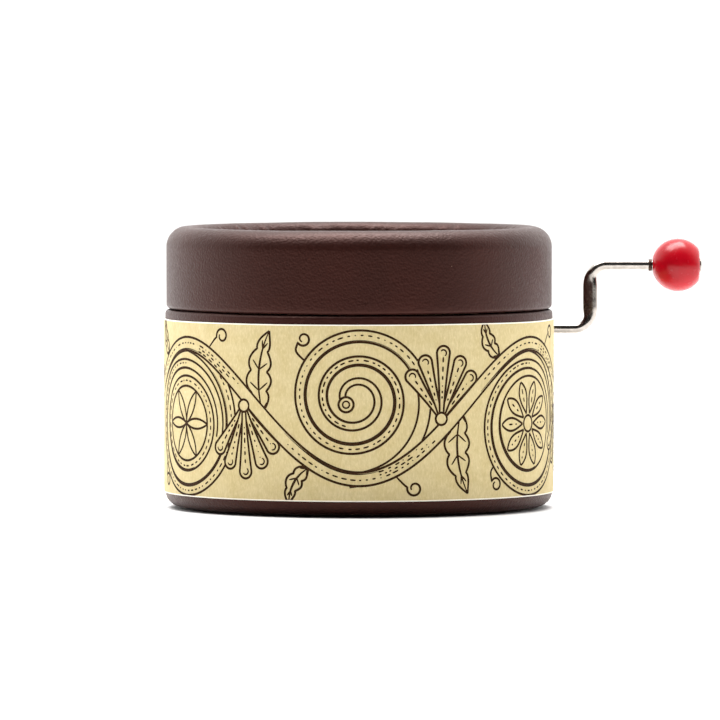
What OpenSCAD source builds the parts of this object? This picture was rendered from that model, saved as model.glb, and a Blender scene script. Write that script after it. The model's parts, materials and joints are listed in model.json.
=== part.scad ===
// Round hand crank music box: a covered card case with a lift-off lid, and an
// 18-note comb movement that a worm on the crank shaft drives.
// Origin: centre of the underside. +Z is up, and the crank leaves along +X.

/* [Case] */
// Outside diameter over the leatherette
case_d = 57.6; // [57.6:0.2:60]
// Height from the table to the crest of the rim
case_h = 41.8; // [41.4:0.2:46]
// Height of the seam between base and lid
seam_z = 29.6; // [29.2:0.1:30.2]
// Radius of the rounded upper edge of the lid
rim_r = 3; // [2.8:0.1:3.4]
// Radius of the rounded lower edge of the base
foot_r = 2.1; // [1.4:0.1:2.6]
// Depth of the dish in the top of the lid
dish_depth = 3.2; // [2:0.2:4.4]
// Thickness of the leatherette
cover_t = 0.3; // [0.2:0.05:0.4]
// Thickness of the printed paper band
band_t = 0.2; // [0.1:0.05:0.3]
// Height of the lower edge of the band
band_z0 = 2.4; // [2.2:0.1:4]
// Height of the upper edge of the band
band_z1 = 28.2; // [28:0.1:28.6]

/* [Crank] */
// Height of the crank axis above the table
crank_z = 26.3; // [26.1:0.1:26.4]
// Distance of the crank axis behind the middle of the case
crank_y = 7.5; // [7.4:0.05:7.6]
// Distance from the crank axis to the knob axis
throw = 9.5; // [8:0.5:12]
// Diameter of the crank wire
wire_d = 1.45; // [1.3:0.05:1.46]
// Radius of the bends, at the middle of the wire
bend_r = 2.4; // [2:0.1:2.6]
// Distance from the middle of the case to the upright leg of the crank
leg_x = 34.6; // [33.6:0.2:38]
// Diameter of the knob
knob_d = 7.9; // [7:0.1:9]

/* [Movement] */
// Teeth of the worm wheel, which is also the gear ratio
wheel_teeth = 20; // [18:1:20]
// Module of the worm and its wheel
gear_m = 0.6; // [0.56:0.01:0.6]
// Pitch radius of the worm
worm_pr = 2.4; // [2.35:0.05:2.45]
// Play between the worm and the wheel teeth
backlash = 0.2; // [0.16:0.02:0.26]
// Number of notes
notes = 18; // [12:1:18]
// Distance between the tooth centres of the comb
note_pitch = 0.92; // [0.88:0.02:0.92]
// Outside radius of the drum
drum_r = 6.2; // [6:0.1:6.2]

/* [Hidden] */
$fn = 64;
eps = 0.01;

// Case, derived
cover_r = case_d / 2;
card_r = cover_r - cover_t;
lining_t = 0.3;
lining_inset = 0.8;
board_t = 1.7;
seam_round = 0.6;
dish_round = 0.8;
rim_wall = rim_r + dish_round;
neck_gap = 0.3;
lid_inset = 0.15;
lid_r = cover_r - lid_inset;
lid_in_r = lid_r - rim_wall + cover_t;
neck_r = lid_in_r - neck_gap;
neck_t = 1.2;
neck_in_r = neck_r - neck_t;
floor_z = lining_t + board_t;
sound_z = 6;
sound_t = 3;
support_w = 2.5;
board_hole_r = 1.2;
panel_t = 1.5;
label_t = 0.2;
dish_z = case_h - dish_depth;
panel_z = dish_z - label_t - panel_t;
panel_gap = 0.7;
neck_top = panel_z - panel_gap;
crank_hole_r = 1.5;

// Gears, derived
press_angle = 20;
wheel_pr = gear_m * wheel_teeth / 2;
wheel_base_r = wheel_pr * cos(press_angle);
wheel_tip_r = wheel_pr + gear_m;
wheel_root_r = wheel_pr - 1.25 * gear_m;
wheel_w = 2.8;
lead = PI * gear_m;
worm_tip_r = worm_pr + gear_m;
worm_root_r = worm_pr - 1.25 * gear_m;
worm_len = 7.6;
wheel_twist = wheel_w * lead / (2 * PI * worm_pr) / wheel_pr * 180 / PI;

// Movement, derived
drum_x = 9.5;
drum_z = crank_z - worm_pr - wheel_pr;
plate_z = sound_z + sound_t;
plate_t = 2;
plate_top = plate_z + plate_t;
plate_x = 18.5;
plate_y = 15.5;
plate_corner = 3;
drum_y0 = -12.4;
drum_y1 = 5.2;
drum_t = 0.4;
pin_r = 0.17;
pin_h = 0.35;
arbor_r = 1;
hub_r = 2.2;
flange_r = 4.2;
wheel_y0 = crank_y - wheel_w / 2;
run_gap = 0.05;
ear_y0 = -15.2;
ear_t = 1.8;
bearing_y0 = 10.7;
bearing_t = 1.2;
comb_gap = 0.1;
tip_len = 0.8;
comb_tip_x = drum_x - drum_r - pin_h - comb_gap;
comb_back_x = -17.5;
comb_z1 = drum_z + 0.3;
comb_t = 1;
tooth_t = 0.55;
tooth_w = note_pitch - 0.14;
tooth_y0 = -11.4;
comb_y0 = -12.2;
comb_y1 = 5;
pedestal_z = comb_z1 - comb_t;
comb_screw_x = -14.2;
comb_screw_y = [-8.5, 1.5];
weight_count = 8;
lug_t = 1.6;
lug_y0 = 5.7;
lug_y1 = 10.3;
lug_gap = 7;
lug_out = lug_gap + lug_t;
bridge_z0 = crank_z + worm_tip_r + 0.2;
bridge_t = 1.2;
bridge_foot_y = 14;
foot_t = 1.2;
bridge_screw_y = 12.4;
bridge_screw_x = [drum_x - lug_out - 0.6, drum_x + lug_out - 1.8];
bearing_screw_y = 13.8;
shaft_r = 1.3;
shaft_end_x = 19.3;
leg_w = 2.2;
leg_t = 0.9;
leg_turn = 20;
shaft_bore_x = 8.8;
collar_r = 2;
board_screw_xy = [[-14.5, -10], [-14.5, 11.5], [14, -11.5]];

// Knob, derived
wire_r = wire_d / 2;
knob_z = crank_z + throw;
knob_r = knob_d / 2;
knob_x = 47.7;
knob_out = 3.2;
knob_in = 3.8;
knob_bore_r = wire_r + 0.075;
rivet_r = 1.05;
rivet_t = 0.3;

// ---- helpers ----

// Turns children from +Z to +X, +Y
module along_x() rotate([0, 90, 0]) children();
module along_y() rotate([-90, 0, 0]) children();

// Half section of a ring: outer corners of radius low and high, and an upper inner one
module ring_section(r_in, r_out, z0, z1, low = 0, high = 0, inner = 0) {
    difference() {
        intersection() {
            translate([r_in, z0]) square([r_out - r_in, z1 - z0]);
            union() {
                translate([0, z0 + low]) square([r_out, z1 - high - z0 - low]);
                translate([0, z1 - high - eps]) square([r_out - high, high + eps]);
                translate([0, z0]) square([r_out - low, low + eps]);
                if (high > 0) translate([r_out - high, z1 - high]) circle(high);
                if (low > 0) translate([r_out - low, z0 + low]) circle(low);
            }
        }
        if (inner > 0) difference() {
            translate([r_in - eps, z1 - inner]) square(inner + eps);
            translate([r_in + inner, z1 - inner]) circle(inner);
        }
    }
}

module ring(r_in, r_out, z0, z1, low = 0, high = 0, inner = 0) {
    rotate_extrude() ring_section(r_in, r_out, z0, z1, low, high, inner);
}

// The hole that the crank wire passes through, from the neck to the outside
module crank_hole() {
    translate([neck_in_r - 6, crank_y, crank_z])
        along_x() cylinder(r = crank_hole_r, h = cover_r - neck_in_r + 8);
}

// Slotted cheese-head screw, head down from z = 0 and shank up
module screw(head_r, head_h, shank_r, shank_h) {
    difference() {
        translate([0, 0, -head_h]) cylinder(r = head_r, h = head_h);
        translate([-head_r - 1, -head_r * 0.14, -head_h - 1])
            cube([2 * head_r + 2, head_r * 0.28, 1 + head_h * 0.45]);
    }
    cylinder(r = shank_r, h = shank_h);
}

module screw_down(x, y, z, head_r, head_h, shank_r, shank_h) {
    translate([x, y, z]) rotate([180, 0, 0]) screw(head_r, head_h, shank_r, shank_h);
}

module rounded_plate(hx, hy, r, z0, t) {
    translate([0, 0, z0]) {
        translate([-hx + r, -hy, 0]) cube([2 * (hx - r), 2 * hy, t]);
        translate([-hx, -hy + r, 0]) cube([2 * hx, 2 * (hy - r), t]);
        for (x = [-hx + r, hx - r], y = [-hy + r, hy - r])
            translate([x, y, 0]) cylinder(r = r, h = t);
    }
}

// ---- case ----

module bottom_lining() color("#2b2019") cylinder(r = cover_r - foot_r - lining_inset,
    h = lining_t);

module bottom_board() {
    color("#a58b66") ring(0, card_r, lining_t + cover_t, floor_z, foot_r - cover_t);
}

module base_tube() {
    color("#b79c74") difference() {
        ring(neck_r, card_r, floor_z, seam_z - cover_t, 0, seam_round - cover_t);
        crank_hole();
    }
}

// Leatherette over the outside of the base, turned under the bottom and over the top
module base_cover() {
    turn_in = 6;
    color("#44241f") difference() {
        rotate_extrude() difference() {
            ring_section(neck_r, cover_r, lining_t, seam_z, foot_r, seam_round);
            ring_section(0, card_r, lining_t + cover_t, seam_z - cover_t,
                foot_r - cover_t, seam_round - cover_t);
            square([cover_r - turn_in, floor_z]);
        }
        crank_hole();
    }
}

module paper_band() {
    color("#e3d29c") difference() {
        ring(cover_r, cover_r + band_t, band_z0, band_z1);
        crank_hole();
    }
}

module neck_tube() {
    color("#6b5240") difference() {
        ring(neck_in_r, neck_r, floor_z, neck_top);
        crank_hole();
    }
}

module support_ring() color("#b79c74") ring(neck_in_r - support_w, neck_in_r,
    floor_z, sound_z);

module sound_board() {
    color("#c9a878") difference() {
        translate([0, 0, sound_z]) cylinder(r = neck_in_r, h = sound_t);
        for (p = board_screw_xy)
            translate([p[0], p[1], sound_z - 1]) cylinder(r = board_hole_r, h = sound_t + 2);
    }
}

module board_screws() {
    color("#b9b9b4") for (p = board_screw_xy)
        translate([p[0], p[1], sound_z]) screw(2, 1.3, 1, sound_t + plate_t - 0.4);
}

// ---- lid ----

module lid_ring() {
    color("#b79c74")
        ring(lid_in_r, lid_r - cover_t, seam_z + cover_t, case_h - cover_t,
            seam_round - cover_t, rim_r - cover_t, dish_round - cover_t);
}

module lid_panel() {
    color("#a58b66") translate([0, 0, panel_z]) cylinder(r = lid_in_r, h = panel_t);
}

// Leatherette over the lid, from the seam over the rim and down into the dish
module lid_cover() {
    color("#44241f") rotate_extrude() difference() {
        ring_section(lid_in_r - cover_t, lid_r, seam_z, case_h, seam_round, rim_r,
            dish_round);
        ring_section(lid_in_r, lid_r - cover_t, seam_z + cover_t, case_h - cover_t,
            seam_round - cover_t, rim_r - cover_t, dish_round - cover_t);
        square([lid_in_r, dish_z - label_t]);
    }
}

module lid_label() {
    color("#e3d29c") translate([0, 0, dish_z - label_t])
        cylinder(r = lid_in_r - cover_t, h = label_t);
}

// ---- movement frame ----

module bedplate() {
    color("#a9aaa8") difference() {
        union() {
            rounded_plate(plate_x, plate_y, plate_corner, plate_z, plate_t);
            translate([comb_back_x, comb_y0, plate_z])
                cube([7, comb_y1 - comb_y0, pedestal_z - plate_z]);
            translate([drum_x - 3, ear_y0, plate_z])
                cube([6, ear_t, drum_z - plate_z]);
            translate([drum_x, ear_y0, drum_z]) along_y() cylinder(r = 3, h = ear_t);
        }
        translate([drum_x, ear_y0 - 1, drum_z])
            along_y() cylinder(r = arbor_r + run_gap, h = ear_t + 2);
        for (p = board_screw_xy)
            translate([p[0], p[1], plate_z - 1]) cylinder(r = 1.02, h = plate_t + 0.7);
        for (y = comb_screw_y)
            translate([comb_screw_x, y, pedestal_z - 5]) cylinder(r = 0.97, h = 6);
        for (x = bridge_screw_x)
            translate([x, bridge_screw_y, plate_z + 0.3]) cylinder(r = 0.82, h = 3);
        translate([drum_x, bearing_screw_y, plate_z + 0.3]) cylinder(r = 0.82, h = 3);
    }
}

// Steel comb: the bass teeth at -Y are the longest
module comb() {
    root_bass = -9.6;
    root_treble = -5.2;
    color("#9b9da0") difference() {
        union() {
            translate([comb_back_x, comb_y0, pedestal_z])
                cube([6.7, comb_y1 - comb_y0, comb_t]);
            for (i = [0:notes - 1]) {
                y = tooth_y0 + i * note_pitch;
                root = root_bass + (root_treble - root_bass) * i / (notes - 1);
                translate([comb_back_x + 5, y - note_pitch / 2 - eps, pedestal_z])
                    cube([root - comb_back_x - 5, note_pitch + 2 * eps, comb_t]);
                translate([root - 1, y - tooth_w / 2, comb_z1 - tooth_t])
                    cube([comb_tip_x - tip_len - root + 1, tooth_w, tooth_t]);
                translate([comb_tip_x - tip_len - eps, y - tooth_w * 0.3, comb_z1 - tooth_t])
                    cube([tip_len + eps, tooth_w * 0.6, tooth_t]);
            }
        }
        for (y = comb_screw_y)
            translate([comb_screw_x, y, pedestal_z - 1]) cylinder(r = 1.1, h = comb_t + 2);
    }
}

// Lead weights under the tips of the bass teeth
module comb_weights() {
    color("#6f7073") for (i = [0:weight_count - 1]) {
        len = 3.6 - 0.32 * i;
        drop = 1.5 - 0.12 * i;
        translate([comb_tip_x - 1.2 - len, tooth_y0 + i * note_pitch - tooth_w / 2,
                comb_z1 - tooth_t - drop])
            cube([len, tooth_w, drop]);
    }
}

module comb_screws() {
    color("#c9c9c4") for (y = comb_screw_y)
        screw_down(comb_screw_x, y, comb_z1, 1.7, 1.1, 0.95, 4.6);
}

// Bridge over the worm, with a lug at each end of the worm shaft
module worm_bridge() {
    color("#b9bab6") difference() {
        union() {
            for (side = [-1, 1]) {
                x0 = drum_x + (side < 0 ? -lug_out : lug_gap);
                foot_x0 = side < 0 ? x0 - 2.4 : x0 - 2;
                translate([x0, lug_y0, plate_top])
                    cube([lug_t, lug_y1 - lug_y0, bridge_z0 + bridge_t - plate_top]);
                translate([foot_x0, lug_y1 - 1.4, plate_top])
                    cube([lug_t + (side < 0 ? 2.4 : 2), bridge_foot_y - lug_y1 + 1.4, foot_t]);
            }
            translate([drum_x - lug_out, lug_y0, bridge_z0])
                cube([2 * lug_out, lug_y1 - lug_y0, bridge_t]);
        }
        translate([drum_x - lug_out - 1, crank_y, crank_z])
            along_x() cylinder(r = shaft_r + run_gap, h = 2 * lug_out + 2);
        for (x = bridge_screw_x)
            translate([x, bridge_screw_y, plate_top - 1]) cylinder(r = 0.95, h = foot_t + 2);
    }
}

// Bent plate that carries the gear end of the drum arbor
module bearing_plate() {
    half_w = 3;
    color("#c4c5c0") difference() {
        union() {
            translate([drum_x - half_w, bearing_y0, plate_top])
                cube([2 * half_w, bearing_t, drum_z - plate_top]);
            translate([drum_x, bearing_y0, drum_z])
                along_y() cylinder(r = half_w, h = bearing_t);
            translate([drum_x - half_w, bearing_y0, plate_top])
                cube([2 * half_w, plate_y - 0.2 - bearing_y0, bearing_t]);
        }
        translate([drum_x, bearing_y0 - 1, drum_z])
            along_y() cylinder(r = arbor_r + run_gap, h = bearing_t + 2);
        translate([drum_x, bearing_screw_y, plate_top - 1]) cylinder(r = 0.95, h = 4);
    }
}

module frame_screws() {
    color("#c9c9c4") {
        for (x = bridge_screw_x)
            screw_down(x, bridge_screw_y, plate_top + foot_t, 1.3, 0.9, 0.8, 2.6);
        screw_down(drum_x, bearing_screw_y, plate_top + bearing_t, 1.3, 0.9, 0.8, 2.6);
    }
}

// ---- drum ----

module drum_tube() {
    color("#d9b45a") translate([drum_x, drum_y0, drum_z]) along_y() difference() {
        cylinder(r = drum_r, h = drum_y1 - drum_y0);
        translate([0, 0, -1]) cylinder(r = drum_r - drum_t, h = drum_y1 - drum_y0 + 2);
    }
}

// Pins of the tune: each track has its own count and its own start angle
module drum_pins() {
    color("#e6d9a8") for (i = [0:notes - 1]) {
        count = 5 + (i * 5) % 4;
        for (k = [0:count - 1]) {
            angle = k * 360 / count + i * 47 + 11 * ((k * k + i) % 3);
            translate([drum_x, tooth_y0 + i * note_pitch, drum_z])
                rotate([0, angle, 0]) translate([0, 0, drum_r - 0.3])
                    cylinder(r = pin_r, h = pin_h + 0.3, $fn = 16);
        }
    }
}

// Hub at the gear end: it closes the tube and carries the wheel
module drum_hub() {
    color("#d2ab4e") translate([drum_x, 0, drum_z]) difference() {
        union() {
            translate([0, drum_y1 - 2, 0]) along_y() cylinder(r = drum_r - drum_t - 0.01, h = 2);
            translate([0, drum_y1, 0]) along_y() cylinder(r = flange_r, h = wheel_y0 - drum_y1);
            translate([0, wheel_y0, 0])
                along_y() cylinder(r = hub_r, h = bearing_y0 - wheel_y0 - 0.1);
        }
        translate([0, drum_y1 - 3, 0]) along_y() cylinder(r = arbor_r + 0.01, h = 10);
    }
}

module drum_cap() {
    color("#d2ab4e") translate([drum_x, 0, drum_z]) difference() {
        union() {
            translate([0, drum_y0, 0]) along_y() cylinder(r = drum_r - drum_t - 0.01, h = 1.6);
            translate([0, ear_y0 + ear_t + 0.1, 0])
                along_y() cylinder(r = 2, h = drum_y0 - ear_y0 - ear_t - 0.1 + eps);
        }
        translate([0, ear_y0, 0]) along_y() cylinder(r = arbor_r + 0.01, h = 10);
    }
}

module drum_arbor() {
    color("#8f9194") translate([drum_x, ear_y0, drum_z])
        along_y() cylinder(r = arbor_r, h = bearing_y0 + bearing_t - ear_y0);
}

// Angle of an involute's flank from its origin, in degrees, at radius r
function involute(r) =
    let (a = acos(wheel_base_r / max(r, wheel_base_r))) tan(a) * 180 / PI - a;
// Half angle of a wheel tooth at radius r
function tooth_half(r) =
    (PI * gear_m / 2 - backlash / 2) / (2 * wheel_pr) * 180 / PI
    + involute(wheel_pr) - involute(r);
function wheel_point(r, a) = [r * cos(a), r * sin(a)];
flank_steps = 4;
flank_r = [for (i = [0:flank_steps])
    wheel_base_r + (wheel_tip_r - wheel_base_r) * i / flank_steps];
function wheel_tooth(a) = concat(
    [wheel_point(wheel_root_r, a - tooth_half(wheel_base_r) - 0.5)],
    [for (r = flank_r) wheel_point(r, a - tooth_half(r))],
    [for (i = [flank_steps:-1:0]) wheel_point(flank_r[i], a + tooth_half(flank_r[i]))],
    [wheel_point(wheel_root_r, a + tooth_half(wheel_base_r) + 0.5)]
);

// Worm wheel: a tooth space faces the worm in the middle of its width
module worm_wheel() {
    tooth_angle = 360 / wheel_teeth;
    color("#ece6d4") translate([drum_x, wheel_y0, drum_z]) along_y()
        rotate([0, 0, -wheel_twist / 2]) difference() {
            linear_extrude(height = wheel_w, twist = -wheel_twist, slices = 2, $fn = 3)
                polygon([for (i = [0:wheel_teeth - 1])
                    each wheel_tooth((i + 0.5) * tooth_angle - 90)]);
            translate([0, 0, -1]) cylinder(r = hub_r + 0.01, h = wheel_w + 2);
        }
}

// ---- crank ----

module worm_shaft() {
    color("#9a9c9f") translate([0, crank_y, crank_z]) difference() {
        union() {
            translate([drum_x - lug_out - 0.4, 0, 0])
                along_x() cylinder(r = shaft_r, h = shaft_end_x - drum_x + lug_out + 0.4);
            translate([drum_x - lug_gap + 0.1, 0, 0])
                along_x() cylinder(r = collar_r, h = lug_gap - 0.1 - worm_len / 2);
        }
        translate([shaft_bore_x, 0, 0]) along_x() cylinder(r = wire_r + 0.02, h = 20);
    }
}

module shaft_collar() {
    color("#c7a452") translate([drum_x + worm_len / 2, crank_y, crank_z]) along_x()
        difference() {
            cylinder(r = collar_r, h = lug_gap - 0.1 - worm_len / 2);
            translate([0, 0, -1]) cylinder(r = shaft_r + 0.01, h = lug_gap);
        }
}

// Radius of the worm's cross-section, phase degrees away from its thread
function worm_r(phase) = min(worm_tip_r, max(worm_root_r,
    worm_pr + (PI * gear_m / 4 - backlash / 4 - abs(phase) / 360 * lead) / tan(press_angle)));

// Single right-hand thread: its crest points down in the middle of its length
module worm() {
    step = 15;
    turns = worm_len / lead;
    color("#ece6d4") translate([drum_x - worm_len / 2, crank_y, crank_z]) along_x()
        difference() {
            rotate([0, 0, -turns * 180]) linear_extrude(height = worm_len,
                    twist = -360 * turns, slices = round(turns * 14), $fn = 24)
                polygon([for (p = [-180:step:180 - step])
                    [worm_r(p) * cos(p), worm_r(p) * sin(p)]]);
            translate([0, 0, -1]) cylinder(r = shaft_r + 0.01, h = worm_len + 2);
        }
}

// Quarter bend of round wire in the XZ plane, about the Y axis
module wire_bend() {
    rotate([90, 0, 0]) rotate_extrude(angle = 90)
        translate([bend_r, 0]) circle(wire_r);
}

// Bent wire: threaded end in the shaft, flattened upright leg with its face turned a
// little towards the case, riveted tip
module crank_wire() {
    flat_x = (leg_w - leg_t) / 2;
    flat_z0 = bend_r + 0.3;
    flat_h = throw - 2 * flat_z0;
    color("#c8c6c2") translate([0, crank_y, crank_z]) {
        translate([shaft_bore_x + 0.1, 0, 0])
            along_x() cylinder(r = wire_r, h = leg_x - bend_r - shaft_bore_x - 0.1);
        translate([leg_x - bend_r, 0, bend_r]) rotate([0, 90, 0]) wire_bend();
        for (z = [bend_r, flat_z0 + flat_h - 0.1])
            translate([leg_x, 0, z]) cylinder(r = wire_r, h = 0.4);
        translate([leg_x, 0, flat_z0]) rotate([0, 0, -leg_turn]) {
            translate([-flat_x, -leg_t / 2, 0]) cube([2 * flat_x, leg_t, flat_h]);
            for (x = [-flat_x, flat_x]) translate([x, 0, 0]) cylinder(r = leg_t / 2, h = flat_h);
        }
        translate([leg_x + bend_r, 0, throw - bend_r]) rotate([0, -90, 0]) wire_bend();
        translate([leg_x + bend_r, 0, throw]) along_x()
            cylinder(r = wire_r, h = knob_x + knob_out + 0.05 - leg_x - bend_r);
        translate([knob_x + knob_out + 0.05, 0, throw]) along_x()
            cylinder(r = rivet_r, h = rivet_t);
    }
}

// Crimped ring that keeps the knob from sliding inwards
module knob_stop() {
    color("#5a5650") translate([knob_x - knob_in - 0.65, crank_y, knob_z]) along_x()
        difference() {
            cylinder(r = wire_r + 0.3, h = 0.5);
            translate([0, 0, -1]) cylinder(r = wire_r + 0.01, h = 3);
        }
}

// ---- knob ----

module knob() {
    color("#c9141f") translate([knob_x, crank_y, knob_z]) along_x() difference() {
        rotate_extrude() intersection() {
            circle(knob_r);
            translate([0, -knob_in]) square([knob_r, knob_in + knob_out]);
        }
        translate([0, 0, -knob_r - 1]) cylinder(r = knob_bore_r, h = 2 * knob_r + 2);
    }
}

bottom_lining();
bottom_board();
base_tube();
base_cover();
paper_band();
neck_tube();
support_ring();
sound_board();
board_screws();
lid_ring();
lid_panel();
lid_cover();
lid_label();
bedplate();
comb();
comb_weights();
comb_screws();
worm_bridge();
bearing_plate();
frame_screws();
drum_tube();
drum_pins();
drum_hub();
drum_cap();
drum_arbor();
worm_wheel();
worm_shaft();
worm();
shaft_collar();
crank_wire();
knob_stop();
knob();
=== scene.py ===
import json
import math
import random

import bmesh
import bpy
import numpy as np
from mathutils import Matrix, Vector


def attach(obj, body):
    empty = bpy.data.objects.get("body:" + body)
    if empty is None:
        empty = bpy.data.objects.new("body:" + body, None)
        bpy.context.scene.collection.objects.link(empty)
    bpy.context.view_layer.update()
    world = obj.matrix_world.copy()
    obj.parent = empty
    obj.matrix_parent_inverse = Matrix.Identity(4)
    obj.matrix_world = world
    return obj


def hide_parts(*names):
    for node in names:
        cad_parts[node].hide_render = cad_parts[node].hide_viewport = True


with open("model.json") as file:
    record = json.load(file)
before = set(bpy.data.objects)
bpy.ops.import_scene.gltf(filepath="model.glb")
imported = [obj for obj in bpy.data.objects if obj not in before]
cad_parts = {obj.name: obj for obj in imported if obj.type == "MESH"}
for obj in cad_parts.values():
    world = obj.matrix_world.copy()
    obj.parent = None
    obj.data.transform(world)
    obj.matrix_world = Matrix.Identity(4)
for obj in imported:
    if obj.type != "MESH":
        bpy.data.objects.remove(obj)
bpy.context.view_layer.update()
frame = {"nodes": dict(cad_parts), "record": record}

MM = 0.001
TAU = 2 * math.pi

# ---------------------------------------------------------------- sizes, mm

# Case: a base and a lid covered with leatherette, and a paper band round the base
BASE_R = 28.8
LID_R = 28.65
BAND_R = 29.0
BAND_Z0 = 2.4
BAND_Z1 = 28.2
MID_Z = (BAND_Z0 + BAND_Z1) / 2
SEAM_Z = 29.6
CASE_H = 41.8
DISH_Z = 38.6
DISH_DEPTH = 3.2
RIM_R = 3.0
COVER_T = 0.3
SEAM_ROUND = 0.6
FOOT_R = 2.1
LINING_R = 25.88
LINING_T = 0.34

# Crank: a bent wire that is flat and slightly turned on its leg, a ball knob and a stop
CRANK_Y = 7.5
CRANK_Z = 26.3
THROW = 9.5
CRANK_HOLE_R = 1.5
WIRE_R = 0.725
WIRE_START = 9.0
WIRE_RUN = 22.9
BEND_R = 2.4
LEG_X = 34.6
LEG_TURN = 20
LEG_HALF_W = 1.08
LEG_HALF_T = 0.5
LEG_SQUARE = 0.42
FLAT_FROM = 1.5
FLAT_TO = 4.6
KNOB_X = 47.7
KNOB_R = 3.95
KNOB_OUT = 3.2
KNOB_IN = 3.8
KNOB_BORE = 0.8
STOP_X = KNOB_X - KNOB_IN - 0.6
STOP_LEN = 0.52
STOP_R = 0.88
STOP_BORE = 0.74


# ---------------------------------------------------------------- node helpers

class Nodes:
    """A material's node tree, with short calls for the nodes used here."""

    def __init__(self, name):
        self.mat = bpy.data.materials.new(name)
        self.mat.use_nodes = True
        self.tree = self.mat.node_tree
        self.bsdf = self.tree.nodes["Principled BSDF"]
        self.coord = self.tree.nodes.new("ShaderNodeTexCoord")

    def new(self, kind, **values):
        node = self.tree.nodes.new(kind)
        for key, value in values.items():
            setattr(node, key, value)
        return node

    def link(self, a, b):
        self.tree.links.new(a, b)

    def mapped(self, scale):
        """Object coordinates times a scale for each axis."""
        node = self.new("ShaderNodeMapping")
        node.inputs["Scale"].default_value = scale
        self.link(self.coord.outputs["Object"], node.inputs["Vector"])
        return node.outputs["Vector"]

    def noise(self, size_mm, detail=3.0, stretch=(1, 1, 1), rough=0.5):
        """Noise with grains of about this size; a small stretch draws them out on that axis."""
        node = self.new("ShaderNodeTexNoise")
        node.inputs["Scale"].default_value = 1.0
        node.inputs["Detail"].default_value = detail
        node.inputs["Roughness"].default_value = rough
        k = 1 / (size_mm * MM)
        self.link(self.mapped([k * s for s in stretch]), node.inputs["Vector"])
        return node.outputs["Fac"]

    def cells(self, size_mm, feature="F1"):
        """Distance from the middles of scattered cells of about this size."""
        node = self.new("ShaderNodeTexVoronoi", feature=feature)
        node.inputs["Scale"].default_value = 1.0
        k = 1 / (size_mm * MM)
        self.link(self.mapped([k, k, k]), node.inputs["Vector"])
        return node.outputs["Distance"]

    def ramp(self, fac, stops):
        node = self.new("ShaderNodeValToRGB")
        while len(node.color_ramp.elements) < len(stops):
            node.color_ramp.elements.new(0.5)
        for element, (pos, colour) in zip(node.color_ramp.elements, stops):
            element.position = pos
            element.color = (*colour, 1)
        self.link(fac, node.inputs["Fac"])
        return node.outputs["Color"]

    def span(self, fac, low, high, out_low, out_high):
        """Maps the range low to high onto out_low to out_high, and holds it there outside."""
        node = self.new("ShaderNodeMapRange")
        node.inputs["From Min"].default_value = low
        node.inputs["From Max"].default_value = high
        node.inputs["To Min"].default_value = out_low
        node.inputs["To Max"].default_value = out_high
        self.link(fac, node.inputs["Value"])
        return node.outputs["Result"]

    def math(self, operation, a, b):
        node = self.new("ShaderNodeMath", operation=operation)
        for socket, value in zip(node.inputs, (a, b)):
            if isinstance(value, (int, float)):
                socket.default_value = value
            else:
                self.link(value, socket)
        return node.outputs["Value"]

    def mix(self, fac, a, b):
        node = self.new("ShaderNodeMixRGB")
        for socket, value in zip(node.inputs, (fac, a, b)):
            if isinstance(value, (int, float)):
                socket.default_value = value
            elif isinstance(value, tuple):
                socket.default_value = (*value, 1)
            else:
                self.link(value, socket)
        return node.outputs["Color"]

    def bump(self, height, depth_mm, strength):
        """Bends the surface's shading by a height."""
        node = self.new("ShaderNodeBump")
        node.inputs["Strength"].default_value = strength
        node.inputs["Distance"].default_value = depth_mm * MM
        self.link(height, node.inputs["Height"])
        self.link(node.outputs["Normal"], self.bsdf.inputs["Normal"])

    def set(self, **values):
        """Sets or links inputs of the shader, with _ for a space in their names."""
        for key, value in values.items():
            socket = self.bsdf.inputs[key.replace("_", " ")]
            if isinstance(value, (int, float)):
                socket.default_value = value
            else:
                self.link(value, socket)

    def specular(self, level):
        self.bsdf.inputs["Specular IOR Level"].default_value = level


def srgb(r, g, b):
    """Linear colour of an 8-bit screen colour."""
    out = []
    for c in (r, g, b):
        c /= 255
        out.append(c / 12.92 if c <= 0.04045 else ((c + 0.055) / 1.055) ** 2.4)
    return tuple(out)


def leatherette():
    """Dark brown grained covering with a few pale specks in scattered patches."""
    n = Nodes("leatherette")
    colour = n.ramp(n.noise(9.0, 2.0), [(0.3, srgb(33, 11, 8)), (0.7, srgb(41, 15, 11))])
    speck = n.span(n.cells(1.5), 0.02, 0.05, 1.0, 0.0)
    patch = n.span(n.noise(5.0, 0.0), 0.58, 0.66, 0.0, 0.85)
    colour = n.mix(n.math("MULTIPLY", speck, patch), colour, srgb(158, 128, 112))
    grain = n.cells(0.32, "SMOOTH_F1")
    fine = n.noise(0.16, 3.0)
    height = n.math("ADD", grain, n.math("MULTIPLY", fine, 0.35))
    n.bump(height, 0.06, 0.8)
    n.set(Base_Color=colour, Roughness=n.span(n.noise(0.5, 2.0), 0.3, 0.7, 0.38, 0.5))
    n.specular(0.34)
    n.bsdf.inputs["Specular Tint"].default_value = (1.0, 0.52, 0.44, 1)
    n.bsdf.inputs["Sheen Weight"].default_value = 0.03
    n.bsdf.inputs["Sheen Roughness"].default_value = 0.4
    n.bsdf.inputs["Sheen Tint"].default_value = (1.0, 0.62, 0.52, 1)
    return n.mat


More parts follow.
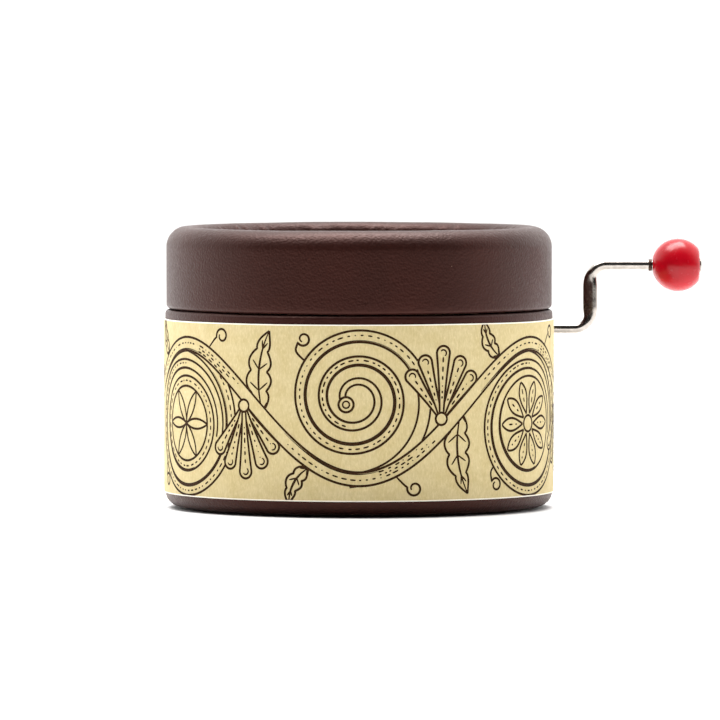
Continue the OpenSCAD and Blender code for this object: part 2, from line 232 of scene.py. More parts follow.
def paper(name, level):
    """Cream paper; level scales its lightness."""
    def tone(*rgb):
        return tuple(v * level for v in srgb(*rgb))
    n = Nodes(name)
    fibre = n.noise(0.22, 4.0, (1, 1, 0.35), 0.7)
    cloud = n.noise(2.4, 3.0)
    dots = n.noise(0.11, 1.0)
    colour = n.ramp(fibre, [(0.30, tone(188, 170, 121)), (0.55, tone(207, 190, 143)),
                            (0.75, tone(230, 214, 168))])
    colour = n.mix(0.35, colour, n.ramp(cloud, [(0.35, tone(210, 190, 134)),
                                              (0.65, tone(229, 212, 164))]))
    colour = n.mix(n.span(dots, 0.35, 0.22, 0.0, 0.22), colour, tone(186, 160, 100))
    n.bump(n.math("ADD", fibre, n.math("MULTIPLY", cloud, 1.5)), 0.02, 0.35)
    n.set(Base_Color=colour, Roughness=0.66)
    n.specular(0.2)
    return n.mat


def ink():
    """Dull dark brown printing ink."""
    n = Nodes("band_ink")
    colour = n.ramp(n.noise(0.3, 3.0), [(0.35, srgb(40, 24, 10)), (0.7, srgb(66, 44, 24))])
    n.bump(n.noise(0.2, 2.0), 0.01, 0.2)
    n.set(Base_Color=colour, Roughness=0.7)
    n.specular(0.08)
    return n.mat


def paper_edge():
    """Nearly white cut edge of the paper."""
    n = Nodes("paper_edge")
    colour = n.ramp(n.noise(0.4, 3.0), [(0.3, srgb(248, 240, 222)), (0.7, srgb(254, 250, 240))])
    n.bump(n.noise(0.15, 2.0), 0.01, 0.3)
    n.set(Base_Color=colour, Roughness=0.8)
    return n.mat


def plastic(name, low, high, rough, grain_mm=1.2, shine=0.5):
    """Moulded plastic with a slight unevenness in colour, gloss and surface."""
    n = Nodes(name)
    colour = n.ramp(n.noise(grain_mm * 3, 2.0), [(0.3, low), (0.7, high)])
    n.bump(n.noise(grain_mm, 2.0), 0.02, 0.25)
    n.set(Base_Color=colour, Roughness=n.span(n.noise(0.7, 2.0), 0.3, 0.7, rough, rough + 0.08))
    n.specular(shine)
    return n.mat


def metal(name, low, high, rough, brush=(1, 1, 1), size=0.5, depth=0.008):
    """Metal with fine marks, drawn out along an axis where brush is small for it."""
    n = Nodes(name)
    lines = n.noise(size, 4.0, brush)
    colour = n.ramp(lines, [(0.3, low), (0.7, high)])
    n.bump(lines, depth, 0.4)
    n.set(Base_Color=colour, Metallic=1.0, Roughness=n.span(lines, 0.3, 0.7, rough, rough + 0.1))
    return n.mat


def matte(name, low, high, size, stretch=(1, 1, 1), depth=0.04):
    """Dull grained material such as card, cloth or wood."""
    n = Nodes(name)
    grain = n.noise(size, 5.0, stretch, 0.6)
    colour = n.ramp(grain, [(0.3, low), (0.7, high)])
    n.bump(grain, depth, 0.5)
    n.set(Base_Color=colour, Roughness=0.85)
    return n.mat


LEATHER = leatherette()
PAPER = paper("band_paper", 0.98)
# The lid's disc: the band paper darkened, painted shade
LABEL_PAINTED_SHADE = paper("label_paper_painted_shade", 0.68)
INK = ink()
EDGE = paper_edge()
RED = plastic("knob_red", srgb(166, 2, 20), srgb(184, 7, 27), 0.2, 1.6, 0.3)
WIRE = metal("crank_wire_steel", srgb(156, 149, 142), srgb(182, 175, 168), 0.14, size=0.6)
STOP = metal("stop_dark", srgb(52, 40, 34), srgb(84, 66, 56), 0.4)

SLOT_MATS = {
    "leatherette": LEATHER,
    "printed_paper": PAPER,
    "card": matte("card", srgb(150, 128, 98), srgb(186, 164, 130), 0.5, (1, 1, 0.3)),
    "lining": matte("lining", srgb(34, 26, 21), srgb(58, 46, 38), 0.25, depth=0.08),
    "board": matte("board", srgb(190, 158, 112), srgb(216, 188, 142), 0.6, (0.12, 1, 1)),
    "zinc": metal("zinc", srgb(150, 150, 148), srgb(186, 186, 184), 0.42, size=0.7, depth=0.02),
    "comb_steel": metal("comb_steel", srgb(142, 145, 150), srgb(186, 188, 192), 0.25,
                        (0.1, 1, 1), 0.15),
    "plated_steel": metal("plated_steel", srgb(180, 180, 176), srgb(208, 208, 204), 0.24,
                          (1, 0.1, 1), 0.2),
    "screw_steel": metal("screw_steel", srgb(190, 190, 186), srgb(216, 216, 212), 0.2),
    "lead": metal("lead", srgb(96, 98, 102), srgb(128, 130, 134), 0.6),
    "drum_brass": metal("drum_brass", srgb(196, 156, 84), srgb(222, 186, 112), 0.26,
                        (1, 0.1, 1), 0.25),
    "pin_steel": metal("pin_steel", srgb(206, 198, 168), srgb(226, 220, 196), 0.25),
    "gear_plastic": plastic("gear_plastic", srgb(226, 218, 194), srgb(238, 232, 212), 0.42),
    "crank_steel": WIRE,
    "stop_steel": STOP,
    "red_plastic": RED,
}

# Every imported node gets the material of its slot, and the lid's disc a darker copy of the band
# paper: painted shade
for row in frame["record"]["subparts"]:
    node = frame["nodes"][row["node"]]
    node.data.materials.clear()
    lid_disc = row["node"] == "lid_label"
    node.data.materials.append(LABEL_PAINTED_SHADE if lid_disc else SLOT_MATS[row["material_slot"]])


# ---------------------------------------------------------------- mesh helpers

def make_object(name, verts, faces, mats, body, smooth=True, face_mats=None):
    """Mesh object from points in mm. With a body, it rides on that body."""
    mesh = bpy.data.meshes.new(name)
    mesh.from_pydata([[c * MM for c in v] for v in verts], [], faces)
    mesh.update()
    for mat in mats:
        mesh.materials.append(mat)
    for i, poly in enumerate(mesh.polygons):
        poly.use_smooth = smooth
        if face_mats:
            poly.material_index = face_mats[i]
    obj = bpy.data.objects.new(name, mesh)
    bpy.context.scene.collection.objects.link(obj)
    if body:
        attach(obj, body)
    return obj


def outward(obj):
    """Turns the faces of a closed mesh outwards."""
    bm = bmesh.new()
    bm.from_mesh(obj.data)
    bmesh.ops.recalc_face_normals(bm, faces=bm.faces)
    bm.to_mesh(obj.data)
    bm.free()
    return obj


def arc(cx, cy, r, a0, a1, steps):
    """Points of an arc, angles in degrees."""
    out = []
    for i in range(steps + 1):
        a = math.radians(a0 + (a1 - a0) * i / steps)
        out.append((cx + r * math.cos(a), cy + r * math.sin(a)))
    return out


def split_line(a, b, steps):
    """Points between a and b, without the two ends."""
    return [(a[0] + (b[0] - a[0]) * i / steps, a[1] + (b[1] - a[1]) * i / steps)
            for i in range(1, steps)]


def ring_faces(count, segments):
    """Faces between neighbouring rings of count points, with the last ring joined to the first."""
    faces = []
    for s in range(segments):
        a, b = s * count, ((s + 1) % segments) * count
        for k in range(count):
            m = (k + 1) % count
            faces.append((a + k, b + k, b + m, a + m))
    return faces


def revolve(name, profile, mat, body, segments, shape=None):
    """Closed ring about Z from a closed profile of (r, z). shape(r, z, angle) moves points."""
    verts = []
    for s in range(segments):
        angle = TAU * s / segments
        for r, z in profile:
            if shape:
                r, z = shape(r, z, angle)
            verts.append((r * math.cos(angle), r * math.sin(angle), z))
    faces = ring_faces(len(profile), segments)
    return outward(make_object(name, verts, faces, [mat], body))


def cut_crank_hole(obj):
    """Cuts the crank's round hole through the wall on the +X side only."""
    bpy.ops.mesh.primitive_cylinder_add(
        vertices=48, radius=CRANK_HOLE_R * MM, depth=10 * MM,
        location=(BAND_R * MM, CRANK_Y * MM, CRANK_Z * MM), rotation=(0, math.pi / 2, 0))
    cutter = bpy.context.object
    mod = obj.modifiers.new("hole", "BOOLEAN")
    mod.operation = "DIFFERENCE"
    mod.solver = "EXACT"
    mod.object = cutter
    depsgraph = bpy.context.evaluated_depsgraph_get()
    mesh = bpy.data.meshes.new_from_object(obj.evaluated_get(depsgraph))
    obj.modifiers.clear()
    old = obj.data
    obj.data = mesh
    bpy.data.meshes.remove(old)
    bpy.data.objects.remove(cutter)


def smooth_sum(angle, waves, seed, amount):
    """Slow wander round the case: a few sine waves with fixed phases."""
    rng = random.Random(seed)
    return sum(amount / (1 + i) * math.sin(w * angle + rng.uniform(0, TAU))
               for i, w in enumerate(waves))


# ---------------------------------------------------------------- lid cover

INNER_ROUND = 1.9
CREST_R = LID_R - RIM_R
DISH_R = CREST_R - 0.8
LID_IN_R = 27.9
FOLD_COUNT = 120

rng = random.Random(5)
FOLDS = [(rng.uniform(0, TAU), rng.uniform(0.010, 0.028), rng.uniform(0.05, 0.17),
          rng.uniform(-0.03, 0.03)) for _ in range(FOLD_COUNT)]


def fold_depth(angle, height):
    """How far the turned-in leatherette stands proud of the dish wall in a fold."""
    total = 0.0
    for centre, width, amount, lean in FOLDS:
        d = (angle - centre - lean * height + math.pi) % TAU - math.pi
        if abs(d) < 3 * width:
            total += amount * math.exp(-(d / width) ** 2)
    return total


def lid_shape(r, z, angle):
    """Uneven wall, seam edge and crest, and the folds inside the dish."""
    if r > LID_R - 2.15:
        r += smooth_sum(angle, (3, 7, 12), 3, 0.03)
    if z < SEAM_Z + 1.5:
        z += smooth_sum(angle, (2, 5, 9), 8, 0.035) + 0.035
    if r < CREST_R - 0.1 and z > DISH_Z - 0.1:
        deep = min(1.0, max(0.0, (CASE_H - 0.1 - z) / 0.9))
        r -= deep * fold_depth(angle, (CASE_H - z) / DISH_DEPTH)
    if z > CASE_H - 0.6:
        z += smooth_sum(angle, (4, 9, 15), 21, 0.02)
    return r, z


def lid_profile():
    """Outside from the seam over the rim and down into the dish, then back inside the cover."""
    low = SEAM_Z + SEAM_ROUND
    rim_z = CASE_H - RIM_R
    inner_z = CASE_H - INNER_ROUND
    foot_z = DISH_Z - 0.2
    return (
        [(LID_IN_R, SEAM_Z + 0.02)] + arc(LID_R - SEAM_ROUND, low, SEAM_ROUND, -75, 0, 6)
        + split_line((LID_R, low), (LID_R, rim_z), 10)
        + arc(CREST_R, rim_z, RIM_R, 0, 87, 18)
        + arc(CREST_R, inner_z, INNER_ROUND, 93, 168, 14)
        + split_line((CREST_R - INNER_ROUND, inner_z), (DISH_R - 0.65, foot_z), 12)
        + [(DISH_R, foot_z), (DISH_R + COVER_T, foot_z), (DISH_R + COVER_T, CASE_H - 0.8)]
        + arc(CREST_R, rim_z, RIM_R - COVER_T, 86, 0, 8)
        + [(LID_R - COVER_T, low), (LID_IN_R, SEAM_Z + 0.3)]
    )


lid_leather = revolve("lid_leather", lid_profile(), LEATHER, "lid", 1080, lid_shape)
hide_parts("lid_cover")

# ---------------------------------------------------------------- base cover

FOOT_Z = 2.42
FOOT_IN_R = 23.0
TOP_IN_R = 24.9


def base_shape(r, z, angle):
    """Uneven edge at the seam."""
    if z > SEAM_Z - 1.3:
        z += smooth_sum(angle, (2, 6, 11), 14, 0.03) - 0.05
    return r, z


def base_profile():
    """Outside from the underside up to the seam, then back inside the cover."""
    foot_r = BASE_R - FOOT_R
    top_r = BASE_R - SEAM_ROUND
    top_z = SEAM_Z - 0.65
    return (
        [(FOOT_IN_R, 0.32)] + arc(foot_r, FOOT_Z, FOOT_R, -90, 0, 12)
        + split_line((BASE_R, BAND_Z0), (BASE_R, top_z), 8)
        + arc(top_r, top_z, SEAM_ROUND, 0, 90, 7)
        + [(TOP_IN_R, SEAM_Z - 0.05), (TOP_IN_R, SEAM_Z - 0.32)]
        + arc(top_r, top_z, SEAM_ROUND - COVER_T, 90, 0, 5)
        + [(BASE_R - COVER_T, BAND_Z0)] + arc(foot_r, FOOT_Z, FOOT_R - COVER_T, 0, -90, 8)
        + [(FOOT_IN_R, 0.62)]
    )


base_leather = revolve("base_leather", base_profile(), LEATHER, "case", 720,
                       base_shape)
cut_crank_hole(base_leather)
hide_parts("base_cover")

# ---------------------------------------------------------------- lining


def close_centre(obj):
    """Joins the points on the axis into one at the top and one at the bottom."""
    bm = bmesh.new()
    bm.from_mesh(obj.data)
    bmesh.ops.remove_doubles(bm, verts=bm.verts, dist=1e-7)
    bmesh.ops.recalc_face_normals(bm, faces=bm.faces)
    bm.to_mesh(obj.data)
    bm.free()


lining_profile = [(0, 0), (LINING_R - 1.08, 0), (LINING_R - 0.68, 0), (LINING_R - 0.18, 0.08),
                  (LINING_R, 0.3), (LINING_R - 0.28, LINING_T), (LINING_R - 0.88, LINING_T),
                  (0, LINING_T)]
lining = revolve("underside_lining", lining_profile, SLOT_MATS["lining"], "case", 256)
close_centre(lining)
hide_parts("bottom_lining")

# ---------------------------------------------------------------- paper band

SEAM_ANGLE = math.radians(184)
BAND_STEPS = 720
EDGE_H = 0.17
SEAM_GAP = 0.002


def band_strip(name, a0, a1):
    """Curved strip of paper from angle a0 to a1, with its cut edges in their own colour."""
    verts, faces, slots = [], [], []
    back_r = BASE_R + 0.005
    edge_r = BAND_R - 0.03
    ring = [(back_r, BAND_Z0), (edge_r, BAND_Z0), (BAND_R, BAND_Z0 + EDGE_H),
            (BAND_R, BAND_Z1 - EDGE_H), (edge_r, BAND_Z1), (back_r, BAND_Z1)]
    count = len(ring)
    steps = int(BAND_STEPS * (a1 - a0) / TAU)
    for s in range(steps + 1):
        a = a0 + (a1 - a0) * s / steps
        wander = smooth_sum(a, (3, 5, 8), 31, 0.03)
        for r, z in ring:
            verts.append((r * math.cos(a), r * math.sin(a), z + wander * (z > MID_Z)))
    for s in range(steps):
        for k in range(count):
            m = (k + 1) % count
            a, b = s * count, (s + 1) * count
            faces.append((a + k, b + k, b + m, a + m))
            slots.append(0 if k in (2, 5) else 1)
    faces.append(tuple(range(count)))
    faces.append(tuple(steps * count + k for k in reversed(range(count))))
    slots += [1, 1]
    return outward(make_object(name, verts, faces, [PAPER, EDGE], "case", False,
                               slots))


band = band_strip("printed_band", SEAM_ANGLE + SEAM_GAP, SEAM_ANGLE + TAU - SEAM_GAP)
cut_crank_hole(band)
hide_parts("paper_band")
for poly in band.data.polygons:
    poly.use_smooth = poly.material_index == 0

# ---------------------------------------------------------------- printed scrollwork
# A plain scrolling stem, drawn flat in mm: x runs round the band to the right and y up from
# its middle height. The stem waves from edge to edge in even cells. In each cell a branch winds
# round a rosette or into a spiral, and the next cell is turned upside down.

CELLS = 6
CELL = TAU * BAND_R / CELLS
WAVE = 9.6
STEM_W = 2.0
EYE = (-0.5, -2.1)
ROSETTE_R = 7.0
BOLD = 1.4
LINE = 0.25
FINE = 0.18
STEP = 0.16
INK_LIFT = 0.010
INK_LAYER = 0.0012
INK_EDGE = 0.1
INK_HOLE_R = 1.7


def curve(points):
    """Smooth line through the points (Catmull-Rom), evenly sampled."""
    pts = [np.array(p, float) for p in points]
    pts = [2 * pts[0] - pts[1]] + pts + [2 * pts[-1] - pts[-2]]
    out = []
    for a, b, c, d in zip(pts, pts[1:], pts[2:], pts[3:]):
        n = max(2, int(np.linalg.norm(c - b) / STEP))
        t = np.arange(n)[:, None] / n
        out.append(0.5 * (2 * b + (c - a) * t + (2 * a - 5 * b + 4 * c - d) * t ** 2
                          + (3 * b - a - 3 * c + d) * t ** 3))
    out.append(pts[-2][None, :])
    return np.vstack(out)


def winding(centre, r0, r1, start, turns, ease=1.0):
    """Spiral from radius r0 to r1; positive turns run anticlockwise from the start angle."""
    n = int(abs(turns) * TAU * (r0 + r1) / 2 / STEP) + 8
    t = np.linspace(0, 1, n)
    r = r0 + (r1 - r0) * t ** ease
    a = math.radians(start) + turns * TAU * t
    return np.stack([centre[0] + r * np.cos(a), centre[1] + r * np.sin(a)], 1)


def ring_line(centre, r, a0=0, a1=360):
    """Circle, or the arc of it from a0 to a1 in degrees."""
    return winding(centre, r, r, a0, (a1 - a0) / 360)


def offset_line(points, shift):
    """The line moved to its left by shift, a number or one value a point."""
    points = np.asarray(points, float)
    if len(points) < 2:
        return points
    d = np.gradient(points, axis=0)
    d /= np.maximum(np.linalg.norm(d, axis=1), 1e-9)[:, None]
    return points + np.reshape(shift, (-1, 1)) * np.stack([-d[:, 1], d[:, 0]], 1)


def inside(points, loop):
    """Which points lie inside the closed loop."""
    x, y = points[:, 0][:, None], points[:, 1][:, None]
    x0, y0 = loop[:, 0], loop[:, 1]
    x1, y1 = np.roll(x0, -1), np.roll(y0, -1)
    crosses = (y0 > y) != (y1 > y)
    at = x0 + (y - y0) * (x1 - x0) / np.where(y1 == y0, 1e-9, y1 - y0)
    return (crosses & (x < at)).sum(1) % 2 == 1


class Print:
    """Ink lines in layers. A mask on a higher layer hides what lies below it."""

    def __init__(self):
        self.lines = []
        self.masks = []
        self.rng = random.Random(11)
        self.at(0, 1)

    def at(self, u, flip):
        """Draws from here on in the cell at u, upside down where flip is -1."""
        self.u, self.flip = u, flip

    def placed(self, points):
        """Points of the cell as places on the whole band."""
        return np.asarray(points, float) * (1, self.flip) + (self.u, MID_Z)

    def line(self, points, layer, width=LINE, ends=0.8, swell=0.0):
        """Line that thins to the share ends of its width at both ends and swells between."""
        t = np.linspace(0, 1, len(points))
        wave = np.clip(np.sin(math.pi * t), 0, 1)
        w = BOLD * width * (ends + (1 - ends) * wave ** 0.4) + swell * wave ** 2
        self.lines.append((self.placed(points), w, layer))

    def mask(self, points, layer):
        """Closed loop that hides the lower layers inside it."""
        self.masks.append((self.placed(points), layer))

    def dashes(self, points, layer, width=FINE, dash=(0.4, 1.0)):
        """Broken shading line."""
        lengths = np.r_[0, np.cumsum(np.linalg.norm(np.diff(points, axis=0), axis=1))]
        at = self.rng.uniform(0, 0.4)
        while at < lengths[-1] - 0.2:
            end = min(lengths[-1], at + self.rng.uniform(*dash))
            pick = (lengths >= at) & (lengths <= end)
            if pick.sum() >= 2:
                self.line(points[pick], layer, width, 0.6)
            at = end + self.rng.uniform(0.25, 0.5)

    def ribbon(self, middle, widths, layer, shade=(0.0, 1.0)):
        """Stem with two edges, a dark side and a row of dashes, covering what is below it."""
        left, right = offset_line(middle, widths / 2), offset_line(middle, -widths / 2)
        self.line(left, layer)
        self.line(right, layer)
        self.mask(np.vstack([left, right[::-1]]), layer)
        a, b = (int(s * (len(middle) - 1)) for s in shade)
        if b - a > 12:
            self.line(offset_line(middle, -widths * 0.36)[a:b], layer, 0.08, 0.3, 0.2)
            self.dashes(offset_line(middle, widths * 0.08)[a + 6:b - 6], layer)

    def tendril(self, root, knee, centre, r, start, turns, layer):
        """Thin stem that curls up into a round eye."""
        curl = winding(centre, r, r * 0.42, start, turns, 1.4)
        self.line(np.vstack([curve([root, knee, tuple(curl[0])])[:-1], curl]), layer, LINE, 0.5)


def leaf(p, base, heading, bend, length, width, lobes, layer):
    """Lobed leaf round a bent spine, with a vein to each lobe."""
    n = 90
    t = np.linspace(0, 1, n)
    a = math.radians(heading) + math.radians(bend) * t
    spine = np.array(base) + np.cumsum(np.stack([np.cos(a), np.sin(a)], 1), 0) * length / n
    lobe = np.abs(np.sin(math.pi * lobes * t)) ** 0.7
    half = width * np.sin(math.pi * t ** 0.8) ** 0.8 * (0.62 + 0.38 * lobe)
    edges = [offset_line(spine, side * half) for side in (1, -1)]
    for side, edge in zip((1, -1), edges):
        p.line(edge, layer)
        for i in range(lobes):
            foot = spine[int((i + 0.1) / lobes * (n - 1))]
            top = edge[int((i + 0.62) / lobes * (n - 1))]
            p.line(curve([foot, foot + (top - foot) * 0.72]), layer, FINE, 0.3)
    p.line(spine, layer, FINE, 0.5, 0.12)
    p.mask(np.vstack([edges[0], edges[1][::-1]]), layer)


def palmette(p, base, heading, length, layer):
    """Fan of five petals with round ends, the middle one on top."""
    spread = 19
    n = 50
    t = np.linspace(0, 1, n)
    for i in (-2, 2, -1, 1, 0):
        a = math.radians(heading + spread * i)
        reach = length * (1 - 0.1 * abs(i))
        axis = np.array([math.cos(a), math.sin(a)])
        spine = np.array(base) + t[:, None] * reach * axis
        half = 0.3 + 0.75 * t ** 1.6
        top = layer + 0.1 * (2 - abs(i))
        left, right = offset_line(spine, half), offset_line(spine, -half)
        cap = ring_line(spine[-1], half[-1], math.degrees(a) + 90, math.degrees(a) - 90)
        edge = np.vstack([left, cap, right[::-1]])
        p.line(edge, top)
        p.mask(edge, top)
        p.dashes(spine[14:-3], top, 0.2)
        p.line(ring_line(spine[-1], half[-1] * 0.45, math.degrees(a) + 150,
                         math.degrees(a) - 60), top, FINE, 0.4)
    p.line(ring_line(base, 0.9), layer + 0.4)
    p.mask(ring_line(base, 0.9), layer + 0.4)


def rosette_rings(p, radii, layer):
    """Rings round the eye of the cell, from small to large, with a shaded arc in the last."""
    for r in radii:
        p.line(ring_line(EYE, r), layer, LINE, 1)
    p.mask(ring_line(EYE, radii[-1]), layer - 0.1)
    p.line(ring_line(EYE, radii[-1] - 0.22, 150, 290), layer, 0.1, 0.4, 0.26)


def compass_rosette(p, layer):
    """Six petals drawn with one compass width, in a plain ring."""
    reach = 5.5
    rosette_rings(p, (reach, ROSETTE_R), layer)
    for i in range(6):
        a = 60 * i
        p.line(ring_line(ring_line(EYE, reach, a, a + 1)[0], reach, a + 120, a + 240), layer)
    p.dashes(ring_line(EYE, 6.3), layer)


def daisy_rosette(p, layer):
    """Ten narrow petals round a small eye, in a plain ring."""
    petals = 10
    rosette_rings(p, (1.2, ROSETTE_R), layer)
    t = np.linspace(0, 1, 30)
    for i in range(petals):
        a = TAU * i / petals
        along = np.array((math.cos(a), math.sin(a)))
        across = np.array((-along[1], along[0]))
        middle = EYE + np.outer(1.5 + 4.9 * t, along)
        swell = np.outer(0.95 * np.sin(math.pi * t ** 1.3) ** 0.8, across)
        for side in (-1, 1):
            p.line(middle + side * swell, layer, LINE, 0.9)
        p.dashes(middle[8:24], layer, 0.2)


def cell(p, kind):
    """One bend of the stem, with its branch, centre, leaves and tendrils."""
    x = np.arange(-CELL / 2, CELL / 2 + STEP, STEP)
    stem = np.stack([x, WAVE * np.cos(math.pi * x / CELL)], 1)
    p.ribbon(stem, np.full(len(stem), STEM_W), 4, (0.12, 0.62))
    if kind == "spiral":
        branch = winding(EYE, 12.0, 1.6, 95, -2.85, 0.75)
        p.ribbon(branch, np.linspace(1.9, 0.8, len(branch)), 3, (0.1, 0.7))
        grip = 7.6
        ball = branch[-1]
        p.line(ring_line(ball, 1.1), 3.5, LINE, 1)
        p.mask(ring_line(ball, 1.1), 3.5)
        p.line(ring_line(ball, 0.5), 3.6, FINE, 1)
    else:
        branch = winding(EYE, 12.0, 8.3, 95, -1.3, 0.55)
        p.ribbon(branch, np.linspace(1.9, 1.1, len(branch)), 3, (0.1, 0.8))
        grip = 9.3
        (compass_rosette if kind == "compass" else daisy_rosette)(p, 3.4)
    palmette(p, (12.4, 0.9), -88, 9.6, 3.8)
    leaf(p, (-14.6, 0.2), -108, 46, 12.5, 2.1, 4, 3.8)
    leaf(p, (-7.4, 8.0), 152, -64, 6.4, 1.3, 3, 3.7)
    root = ring_line(EYE, grip, 216, 217)[0]
    p.tendril(tuple(root), (-9.2, -8.8), (-8.2, -10.8), 1.0, 150, -1.1, 2)
    p.tendril((5.4, 9.2), (6.6, 10.4), (8.2, 11.0), 1.1, 190, -1.1, 2)
    for k in range(3):
        p.dashes(offset_line(stem, 0.3 - 0.45 * k)[112:168 - 8 * k], 4, FINE, (0.3, 1.1))


def ribbons(p):
    """Clips the lines by the masks and lays them on the band as strips of ink."""
    verts, faces = [], []
    turn = TAU * BAND_R
    seam0 = BAND_R * (SEAM_ANGLE + math.pi / 2) - turn
    hole_u = BAND_R * (math.pi / 2 + math.asin(CRANK_Y / BAND_R))
    for number, (points, widths, layer) in enumerate(p.lines):
        keep = np.ones(len(points), bool)
        for loop, top in p.masks:
            if top > layer:
                keep &= ~inside(points, loop)
        left, right = offset_line(points, widths / 2), offset_line(points, -widths / 2)
        radius = BAND_R + INK_LIFT + INK_LAYER * (number % 9)
        for copy in (-1, 0, 1):
            u = points[:, 0] + copy * turn
            ok = keep & (u > seam0 + INK_EDGE) & (u < seam0 + turn - INK_EDGE)
            ok &= (points[:, 1] > BAND_Z0 - INK_EDGE) & (points[:, 1] < BAND_Z1 + INK_EDGE)
            ok &= (u - hole_u) ** 2 + (points[:, 1] - CRANK_Z) ** 2 > INK_HOLE_R ** 2
            previous = -1
            for i in np.nonzero(ok)[0]:
                for side in (left, right):
                    z = min(max(side[i, 1], BAND_Z0 + EDGE_H), BAND_Z1 - EDGE_H)
                    angle = (side[i, 0] + copy * turn) / BAND_R - math.pi / 2
                    verts.append((radius * math.cos(angle), radius * math.sin(angle), z))
                n = len(verts)
                if previous == i - 1 and previous >= 0:
                    faces.append((n - 4, n - 2, n - 1, n - 3))
                previous = i
    return verts, faces


scroll = Print()
for number in range(CELLS):
    scroll.at((number - 1) * CELL, 1 if number % 2 == 0 else -1)
    cell(scroll, ("compass", "spiral", "daisy")[number % 3])
ink_verts, ink_faces = ribbons(scroll)
make_object("band_scrollwork", ink_verts, ink_faces, [INK], "case", False)

# ---------------------------------------------------------------- crank wire


def wire_path():
    """Points of the wire's middle line in the XZ plane, from inside the case to the knob."""
    z0, z1 = CRANK_Z, CRANK_Z + THROW
    leg0, leg1 = z0 + BEND_R, z1 - BEND_R
    after = LEG_X + BEND_R
    path = [(WIRE_START + WIRE_RUN * i / 30, z0) for i in range(31)]
    path += arc(LEG_X - BEND_R, leg0, BEND_R, -90, 0, 20)[1:]
    path += [(LEG_X, leg0 + (leg1 - leg0) * i / 24) for i in range(1, 25)]
    path += arc(after, leg1, BEND_R, 180, 90, 20)[1:]
    path += [(after + (KNOB_X + KNOB_OUT - after) * i / 20, z1) for i in range(1, 21)]
    return path


def smoothstep(a, b, x):
    """Smooth rise from 0 at a to 1 at b."""
    t = min(1.0, max(0.0, (x - a) / (b - a)))
    return t * t * (3 - 2 * t)


def soft_power(value, power):
    """Power of the size of the value, with its sign kept."""
    return math.copysign(abs(value) ** power, value)


WIRE_SIDES = 48
TIP_RINGS = ((0.02, 0.72), (0.07, 0.98), (0.18, 1.02), (0.30, 0.80), (0.36, 0.40))


def wire_section(place, along):
    """Ring of points round the wire: round, but flat and slightly turned on the leg."""
    x, z = place
    side = Vector((-along[1], along[0]))
    on_leg = 1 - smoothstep(FLAT_FROM, FLAT_TO, abs(z - CRANK_Z - THROW / 2))
    half_w = WIRE_R + (LEG_HALF_W - WIRE_R) * on_leg
    half_t = WIRE_R + (LEG_HALF_T - WIRE_R) * on_leg
    turn = math.radians(LEG_TURN) * on_leg
    power = 1 - LEG_SQUARE * on_leg
    points = []
    for k in range(WIRE_SIDES):
        a = TAU * k / WIRE_SIDES
        c = half_w * soft_power(math.cos(a), power)
        s = half_t * soft_power(math.sin(a), power)
        u = c * math.cos(turn) - s * math.sin(turn)
        v = c * math.sin(turn) + s * math.cos(turn)
        points.append((x + side[0] * u, CRANK_Y + v, z + side[1] * u))
    return points


def build_wire():
    """The wire from inside the case to beyond the knob, where a low riveted dome ends it."""
    path = wire_path()
    verts = []
    for i, place in enumerate(path):
        x0, z0 = path[max(0, i - 1)]
        x1, z1 = path[min(len(path) - 1, i + 1)]
        verts += wire_section(place, Vector((x1 - x0, z1 - z0)).normalized())
    for dx, r in TIP_RINGS:
        for k in range(WIRE_SIDES):
            a = TAU * k / WIRE_SIDES
            verts.append((KNOB_X + KNOB_OUT + dx, CRANK_Y + r * math.sin(a),
                          CRANK_Z + THROW + r * math.cos(a)))
    rings = len(verts) // WIRE_SIDES
    faces = []
    for i in range(rings - 1):
        a, b = i * WIRE_SIDES, (i + 1) * WIRE_SIDES
        for k in range(WIRE_SIDES):
            m = (k + 1) % WIRE_SIDES
            faces.append((a + k, a + m, b + m, b + k))
    faces.append(tuple(range(WIRE_SIDES)))
    faces.append(tuple((rings - 1) * WIRE_SIDES + k for k in reversed(range(WIRE_SIDES))))
    return outward(make_object("crank_wire_bent", verts, faces, [WIRE], "crank"))


wire = build_wire()
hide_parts("crank_wire")

# ---------------------------------------------------------------- knob and stop


def revolve_x(name, profile, mat, body, segments):
    """Closed ring about the knob's axis, which lies along X, from a closed profile of (x, r)."""
    verts = []
    for s in range(segments):
        a = TAU * s / segments
        for x, r in profile:
            verts.append((x, CRANK_Y + r * math.cos(a), CRANK_Z + THROW + r * math.sin(a)))
    faces = ring_faces(len(profile), segments)
    return outward(make_object(name, verts, faces, [mat], body))


def knob_profile():
    """Ball with a flat at each end, a rounded edge at the outer flat and a mould line."""
    points = [(KNOB_X - KNOB_IN, KNOB_BORE), (KNOB_X - KNOB_IN, 0.95)]
    start = math.degrees(math.acos(-KNOB_IN / KNOB_R)) - 3
    end = math.degrees(math.acos(KNOB_OUT / KNOB_R)) + 7
    steps = 60
    for i in range(steps + 1):
        a = math.radians(start + (end - start) * i / steps)
        x = KNOB_R * math.cos(a)
        ridge = 0.022 * math.exp(-(x / 0.09) ** 2)
        points.append((KNOB_X + x, (KNOB_R + ridge) * math.sin(a)))
    lip = points[-1]
    edge = KNOB_X + KNOB_OUT
    points += [(lip[0] + (edge - lip[0]) * 0.55, lip[1] - 0.22), (edge - 0.06, lip[1] - 0.42),
               (edge, lip[1] - 0.62), (edge, 1.3), (edge - 0.05, 1.05), (edge - 0.05, KNOB_BORE)]
    return points


knob = revolve_x("ball_knob", knob_profile(), RED, "knob", 128)
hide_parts("knob")
stop_profile = [(STOP_X, STOP_BORE), (STOP_X, STOP_R - 0.08), (STOP_X + 0.08, STOP_R),
                (STOP_X + STOP_LEN - 0.08, STOP_R), (STOP_X + STOP_LEN, STOP_R - 0.06),
                (STOP_X + STOP_LEN, STOP_BORE)]
stop = revolve_x("crimped_stop", stop_profile, STOP, "crank", 48)
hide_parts("knob_stop")

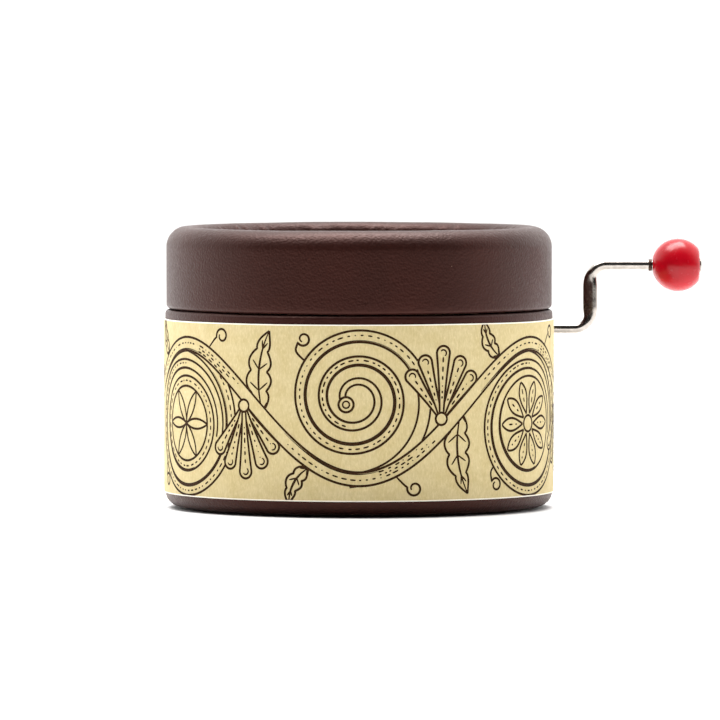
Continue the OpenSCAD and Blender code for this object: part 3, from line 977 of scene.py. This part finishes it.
# ---------------------------------------------------------------- stage

FLOOR_SIDE = 90000
FLOOR_FRONT = -450
FLOOR_BACK = 120000
FLOOR_Z = -0.01

SKY_TILT = 0.2
SKY_SPREAD = 0.42
SKY_DARK = 0.05
SKY_BRIGHT = 1.8

CAMERA_PLACE = (0.00016, -1.332, 0.077)
CAMERA_AIM = (0.00016, 0, 0.0219)
CAMERA_LENS = 448


def floor_material():
    """Plain white studio floor."""
    n = Nodes("floor_white")
    colour = n.ramp(n.noise(400.0, 2.0), [(0.3, (0.94, 0.94, 0.94)), (0.7, (0.955, 0.955, 0.955))])
    n.set(Base_Color=colour, Roughness=0.9)
    n.specular(0.1)
    return n.mat


def build_floor():
    """Wide floor that ends a little in front of the object."""
    corners = [(-FLOOR_SIDE, FLOOR_FRONT, FLOOR_Z), (FLOOR_SIDE, FLOOR_FRONT, FLOOR_Z),
               (FLOOR_SIDE, FLOOR_BACK, FLOOR_Z), (-FLOOR_SIDE, FLOOR_BACK, FLOOR_Z)]
    return make_object("floor", corners, [(0, 1, 2, 3)], [floor_material()], None, False)


def build_sky():
    """White light that is bright behind the object and above it, and dim in front."""
    world = bpy.data.worlds.new("studio")
    bpy.context.scene.world = world
    world.use_nodes = True
    tree = world.node_tree
    back = tree.nodes["Background"]
    coord = tree.nodes.new("ShaderNodeTexCoord")
    split = tree.nodes.new("ShaderNodeSeparateXYZ")
    tree.links.new(coord.outputs["Generated"], split.inputs["Vector"])
    tilt = tree.nodes.new("ShaderNodeMath")
    tilt.operation = "MULTIPLY_ADD"
    tree.links.new(split.outputs["Z"], tilt.inputs[0])
    tilt.inputs[1].default_value = SKY_TILT
    tree.links.new(split.outputs["Y"], tilt.inputs[2])
    glow = tree.nodes.new("ShaderNodeMapRange")
    glow.interpolation_type = "SMOOTHSTEP"
    glow.inputs["From Min"].default_value = -SKY_SPREAD
    glow.inputs["From Max"].default_value = SKY_SPREAD
    glow.inputs["To Min"].default_value = SKY_DARK
    glow.inputs["To Max"].default_value = SKY_BRIGHT
    tree.links.new(tilt.outputs["Value"], glow.inputs["Value"])
    tree.links.new(glow.outputs["Result"], back.inputs["Strength"])
    back.inputs["Color"].default_value = (1, 0.995, 0.985, 1)


def face_point(obj, place, aim):
    """Puts a light or camera at a place and turns it towards a point."""
    obj.location = place
    obj.rotation_euler = (Vector(aim) - Vector(place)).to_track_quat("-Z", "Y").to_euler()


def area(name, place, aim, size, size_y, power):
    """Rectangular lamp, sizes in metres."""
    light = bpy.data.lights.new(name, "AREA")
    light.shape = "RECTANGLE"
    light.size = size
    light.size_y = size_y
    light.energy = power
    obj = bpy.data.objects.new(name, light)
    bpy.context.scene.collection.objects.link(obj)
    face_point(obj, place, aim)


def build_camera():
    """Far camera with a long lens, a little above the object."""
    lens = bpy.data.cameras.new("camera")
    lens.lens = CAMERA_LENS
    lens.sensor_width = 36
    lens.clip_start = 0.05
    lens.clip_end = 400
    camera = bpy.data.objects.new("camera", lens)
    bpy.context.scene.collection.objects.link(camera)
    face_point(camera, CAMERA_PLACE, CAMERA_AIM)
    bpy.context.scene.camera = camera


floor = build_floor()
build_sky()
area("softbox_top", (-0.05, 0.12, 0.72), (0, 0, 0.02), 0.7, 0.42, 10.5)
build_camera()
bpy.context.scene.view_settings.view_transform = "Standard"

bpy.context.view_layer.update()
